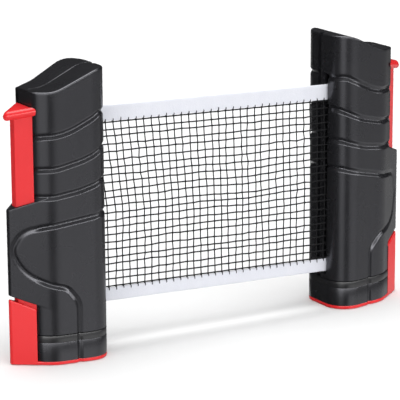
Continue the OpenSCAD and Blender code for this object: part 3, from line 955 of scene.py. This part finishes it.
def netMesh():
    rng = np.random.default_rng(net["seed"])
    edgeLow, edgeHigh = net["low"] + net["tapeLow"], net["high"] - net["tapeTop"]
    count, courses = net["strings"], net["courses"]
    s0 = np.linspace(-netLength / 2 + net["endGap"], netLength / 2 - net["endGap"], count)
    between = np.linspace(edgeLow + net["clear"], edgeHigh - net["clear"], courses)
    z0 = np.concatenate([[edgeLow - net["tuck"]], between, [edgeHigh + net["tuck"]]])
    s, z = np.meshgrid(s0, z0, indexing="ij")
    middle = (edgeLow + edgeHigh) / 2
    held = np.clip(np.minimum(z - edgeLow, edgeHigh - z) / hang["held"], 0, 1)
    # the strings lean in the upper part near one post and sag a little beyond the middle
    fade = np.clip((hang["leanTo"] - s) / hang["leanOver"], hang["leanLeast"], 1)
    lean = -hang["lean"] * np.maximum(z - middle + hang["leanFrom"], 0) * fade
    (atS, atZ), (overS, overZ) = hang["sagAt"], hang["sagOver"]
    sag = -hang["sag"] * np.exp(-((s - atS) / overS) ** 2 - ((z - middle - atZ) / overZ) ** 2)
    atS, (overS, overZ) = hang["bunchAt"], hang["bunchOver"]
    bunch = hang["bunch"] * np.exp(-((s - atS) / overS) ** 2 - ((z - middle) / overZ) ** 2)
    bunch = bunch * -np.tanh((s - atS) / hang["bunchTurn"])
    wander = np.cumsum(rng.normal(0, hang["wander"], s.shape), axis=1)
    wander -= np.linspace(0, 1, s.shape[1]) * wander[:, -1:]
    drift = np.cumsum(rng.normal(0, hang["drift"], s.shape), axis=0)
    drift -= np.linspace(0, 1, s.shape[0])[:, None] * drift[-1:, :]
    ds = lean + bunch + (wander + rng.normal(0, hang["jitter"], s.shape)) * held
    dz = sag + (drift + rng.normal(0, hang["jitter"], s.shape)) * held
    inner = (s > s0[0] + 1) & (s < s0[-1] - 1)
    s, z = s + ds * inner, z + dz
    bow = np.sin((z - edgeLow) / (edgeHigh - edgeLow) * math.pi)
    depth = hang["depth"] * np.sin(s / hang["depthWave"] + 1) * bow * held

    def spread(a, axis):
        # points at each knot, close beside it and midway, along one axis
        a = np.moveaxis(a, axis, -1)
        parts = [a[..., :-1] * (1 - t) + a[..., 1:] * t for t in (0, 0.13, 0.5, 0.87)]
        out = np.stack(parts, axis=-1).reshape(*a.shape[:-1], -1)
        return np.concatenate([out, a[..., -1:]], axis=-1)

    odd = np.add.outer(np.arange(count), np.arange(courses + 2)) % 2
    over = np.where(odd == 0, 1, -1) * net["waver"]
    uprights = []
    sv, zv, nv = spread(s, 1), spread(z, 1), spread(depth + over, 1)
    knots = np.where(np.arange(sv.shape[1]) % 4 == 0, net["knot"], 1.0)
    knots[[0, -1]] = 1
    for i in range(count):
        uprights.append(tubeRings(onNet(sv[i], nv[i], zv[i]), netAlong, net["upright"] * knots, 5))
    levels = []
    sh, zh, nh = spread(s, 0), spread(z, 0), spread(depth - over, 0)
    knots = np.where(np.arange(sh.shape[1]) % 4 == 0, net["knot"], 1.0)
    for j in range(1, courses + 1):
        levels.append(tubeRings(onNet(sh[j], nh[j], zh[j]), upward, net["level"] * knots, 5))
    # the ends of the strings, caught on both faces of the tapes
    ends = []
    for j, way in ((0, -1), (courses + 1, 1)):
        edge = edgeLow if way < 0 else edgeHigh
        for i in range(1, count - 1):
            reach = stitch["reach"] + rng.normal(0, stitch["uneven"])
            for face in (-1, 1):
                t = np.array(stitch["course"])
                out = face * (stitch["out"] + stitch["over"] * np.minimum(t + 1, 1))
                height = edge + way * (reach * np.maximum(t, stitch["inside"]))
                path = onNet(s[i, j] + stitch["slant"] * t, out, height)
                ends.append(tubeRings(path, netAlong, stitch["radii"], 5))
    made = tubes("upright", uprights) + tubes("course", levels) + tubes("end", ends)
    obj = joined("NetMesh", made)
    outwards(obj, 0.002)
    smooth(obj, 60)
    wear(obj, "net_cord")
    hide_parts("net_mesh")
    return obj


band = {"rows": 150, "gap": 0.62, "thick": 0.32, "faceRows": 5, "narrow": 0.75, "seedTop": 11, "seedLow": 12,
        "ripple": ((0.18, 17), (0.12, 7.3)), "rippleShare": 0.8, "pucker": 0.07, "puckerTurn": 2.4,
        "fray": 0.4, "frayOver": 9, "frayShare": 0.6}


def tape(name, node, edge, width, way):
    # a band folded over the edge of the net: up one face, round the fold and down the other
    rng = np.random.default_rng(band["seedTop"] if way > 0 else band["seedLow"])
    rows, gap, last = band["rows"], band["gap"], band["faceRows"]
    s = np.linspace(-netLength / 2, netLength / 2, rows)
    across = []
    for k in range(last + 1):
        out = -gap * (band["narrow"] + (1 - band["narrow"]) * k / last)
        across.append((out, width * (1 - k / last) + (gap if k == last else 0)))
    fold = [(-gap * math.cos(a), gap * (1 - math.sin(a))) for a in np.linspace(0, math.pi, 7)[1:-1]]
    back = [(-n, w) for n, w in across[::-1]]
    section = np.array(across + fold + back)
    (broad, broadWave), (fine, fineWave) = band["ripple"]
    ripple = broad * np.sin(s / broadWave + 2 * way) + fine * np.sin(s / fineWave + 1)
    over = band["frayOver"]
    edgeWave = np.convolve(rng.normal(0, band["fray"], rows + over - 1), np.ones(over) / over, "valid")
    rings = []
    for k in range(rows):
        share = section[:, 1] / width
        pucker = band["pucker"] * math.sin(k * band["puckerTurn"]) * share
        n = section[:, 0] + ripple[k] * band["rippleShare"] + pucker
        drop = section[:, 1] + edgeWave[k] * share * band["frayShare"]
        rings.append(onNet(np.full(len(section), s[k]), n, edge - way * drop))
    obj = skin(name, rings, closed=False)
    obj.data.name = name
    outwards(obj)
    only(obj)
    thick = obj.modifiers.new("thick", "SOLIDIFY")
    thick.thickness, thick.offset = band["thick"] * mm, 0
    bpy.ops.object.modifier_apply(modifier=thick.name)
    smooth(obj, 50)
    wear(obj, "white_tape")
    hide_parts(node)
    return obj


topTape = tape("TopTape", "net_top_tape", net["high"], net["tapeTop"], 1)
bottomTape = tape("BottomTape", "net_bottom_tape", net["low"], net["tapeLow"], -1)
mesh = netMesh()
netStart, netEnd = (-0.1275, 0.0076, 0.1), (0.1275, -0.0076, 0.1)
for piece in (topTape, bottomTape, mesh):
    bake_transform(piece)
    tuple(netStart)
    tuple(netEnd)
print("net made")

reel = {"x": 28.0, "y": 4.5, "core": 4.6, "outer": 11.0, "turns": 8, "turnSteps": 32,
        "band": 0.62, "gap": 0.02}


def wound(name, z0, z1, slot):
    # the band wound round the spindle, layer on layer
    steps = reel["turns"] * reel["turnSteps"]
    turn = np.linspace(0, reel["turns"] * 2 * math.pi, steps)
    pitch = (reel["outer"] - reel["core"] - reel["band"]) / reel["turns"]
    r = reel["core"] + reel["gap"] + pitch * turn / (2 * math.pi)
    ring = np.column_stack([np.cos(turn), np.sin(turn)])
    outside = ring * (r + reel["band"])[:, None] + [reel["x"], reel["y"]]
    inside = ring * r[:, None] + [reel["x"], reel["y"]]
    obj = prism(name, np.concatenate([outside, inside[::-1]]), z0, z1)
    smooth(obj, 40)
    wear(obj, slot)
    bothPosts(obj, name, "_reel", slot, "net_roll")


# the end turns are drawn in: neck is the least share of the radius, neckRise how soon it widens
spring = {"x": 58.4, "low": 50.6, "high": 107.4, "radius": 2.35, "wire": 0.5, "turns": 22, "turnSteps": 14,
          "neck": 0.35, "neckRise": 40}


def clampSpring():
    count = spring["turns"] * spring["turnSteps"]
    t = np.linspace(0, 1, count)
    turn = t * spring["turns"] * 2 * math.pi
    ease = np.clip(t * (1 - t) * spring["neckRise"], spring["neck"], 1)
    radial = np.column_stack([np.cos(turn), np.sin(turn), 0 * turn])
    height = spring["low"] + (spring["high"] - spring["low"]) * t
    middle = np.column_stack([0 * t + spring["x"], 0 * t, height])
    path = radial * (spring["radius"] * ease)[:, None] + middle
    obj = skin("coil", tubeRings(path, radial, spring["wire"], 7))
    outwards(obj, 0.001)
    smooth(obj, 60)
    wear(obj, "steel")
    for side, copy in perPost(obj, "ClampSpring"):
        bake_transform(copy)
        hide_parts(side + "_clamp_spring")


wound("WoundMesh", net["low"] + net["tapeLow"], net["high"] - net["tapeTop"], "net_cord")
wound("WoundTopTape", net["high"] - net["tapeTop"], net["high"], "white_tape")
wound("WoundBottomTape", net["low"], net["low"] + net["tapeLow"], "white_tape")
clampSpring()
print("reels and springs made")

# a panel is its heading from and to, its height from and to, how soft it ends in each, and its strength;
# overhead is the height it begins at, its softness and its strength
studio = {
    "theta": 31.9, "elevation": 14.62, "distance": 1724.5, "target": (-9.85, 0, 98.5), "roll": -0.32,
    "lens": 209.7, "sensor": 36, "clipEnd": 20, "floor": 0.74, "floorSize": 14, "floorDrop": 0.0004,
    "dim": 0.03, "overhead": (58, 14, 4.6),
    "panels": ((-118, -32, -60, -12, 14, 16, 0.56), (-32, 8, -60, -12, 14, 16, 0.79),
               (36, 62, -13.5, 8, 8, 4, 0.95), (36, 62, -60, -13.5, 8, 4, 0.42),
               (-62, 66, 8, 20, 12, 6, 6.0), (-200, -128, -60, -12, 14, 16, 0.6),
               (172, 200, -60, -12, 10, 16, 0.6)),
}


def camera():
    theta, elevation = math.radians(studio["theta"]), math.radians(studio["elevation"])
    flat = math.cos(elevation)
    ahead = Vector((math.sin(theta) * flat, math.cos(theta) * flat, -math.sin(elevation)))
    bpy.ops.object.camera_add(location=Vector(studio["target"]) * mm - ahead * studio["distance"] * mm)
    made = bpy.context.object
    made.rotation_mode = "QUATERNION"
    made.rotation_quaternion = ahead.to_track_quat("-Z", "Y")
    bpy.context.view_layer.update()
    spin = Matrix.Rotation(math.radians(studio["roll"]), 4, "Z")
    made.matrix_world = made.matrix_world @ spin
    made.data.lens, made.data.sensor_width = studio["lens"], studio["sensor"]
    made.data.clip_end = studio["clipEnd"]
    bpy.context.scene.camera = made


def studioWorld():
    # soft panels of light all round, each from one heading and height to another, and one overhead
    world = bpy.data.worlds.new("studio")
    bpy.context.scene.world = world
    world.use_nodes = True
    nodes, links = world.node_tree.nodes, world.node_tree.links

    def step(operation, *values):
        made = nodes.new("ShaderNodeMath")
        made.operation = operation
        for i, value in enumerate(values):
            if isinstance(value, (int, float)):
                made.inputs[i].default_value = value
            else:
                links.new(value, made.inputs[i])
        return made.outputs[0]

    def rise(value, at, soft):
        # goes from 0 to 1 across an angle in degrees
        made = nodes.new("ShaderNodeMapRange")
        made.interpolation_type = "SMOOTHSTEP"
        made.inputs["From Min"].default_value = math.radians(at - soft / 2)
        made.inputs["From Max"].default_value = math.radians(at + soft / 2)
        links.new(value, made.inputs["Value"])
        return made.outputs["Result"]

    apart = nodes.new("ShaderNodeSeparateXYZ")
    links.new(nodes.new("ShaderNodeTexCoord").outputs["Generated"], apart.inputs[0])
    towardsX, towardsY = (step("MULTIPLY", apart.outputs[axis], -1) for axis in ("X", "Y"))
    heading = step("ARCTAN2", towardsX, towardsY)
    height = step("ARCSINE", apart.outputs["Z"])
    at, soft, power = studio["overhead"]
    total = step("ADD", studio["dim"], step("MULTIPLY", rise(height, at, soft), power))
    for fromSide, toSide, low, high, softSide, softHeight, power in studio["panels"]:
        across = step("SUBTRACT", rise(heading, fromSide, softSide), rise(heading, toSide, softSide))
        upright = step("SUBTRACT", rise(height, low, softHeight), rise(height, high, softHeight))
        total = step("ADD", total, step("MULTIPLY", step("MULTIPLY", across, upright), power))
    # seen directly, the room beyond the floor is plain white
    plain = nodes.new("ShaderNodeMix")
    plain.inputs["B"].default_value = 1
    links.new(nodes.new("ShaderNodeLightPath").outputs["Is Camera Ray"], plain.inputs["Factor"])
    links.new(total, plain.inputs["A"])
    links.new(plain.outputs["Result"], nodes["Background"].inputs["Strength"])
    nodes["Background"].inputs["Color"].default_value = (1, 1, 1, 1)


camera()
bpy.ops.mesh.primitive_plane_add(size=studio["floorSize"], location=(0, 0, -studio["floorDrop"]))
floor = bpy.context.object
floor.name = "floor"
floor.visible_glossy = False
paleFloor = Finish("paleFloor", (studio["floor"],) * 3, 0.9, Specular_IOR_Level=0.1)
floor.data.materials.append(paleFloor.material)

studioWorld()
bpy.context.scene.view_settings.view_transform = "Standard"
print("studio made")
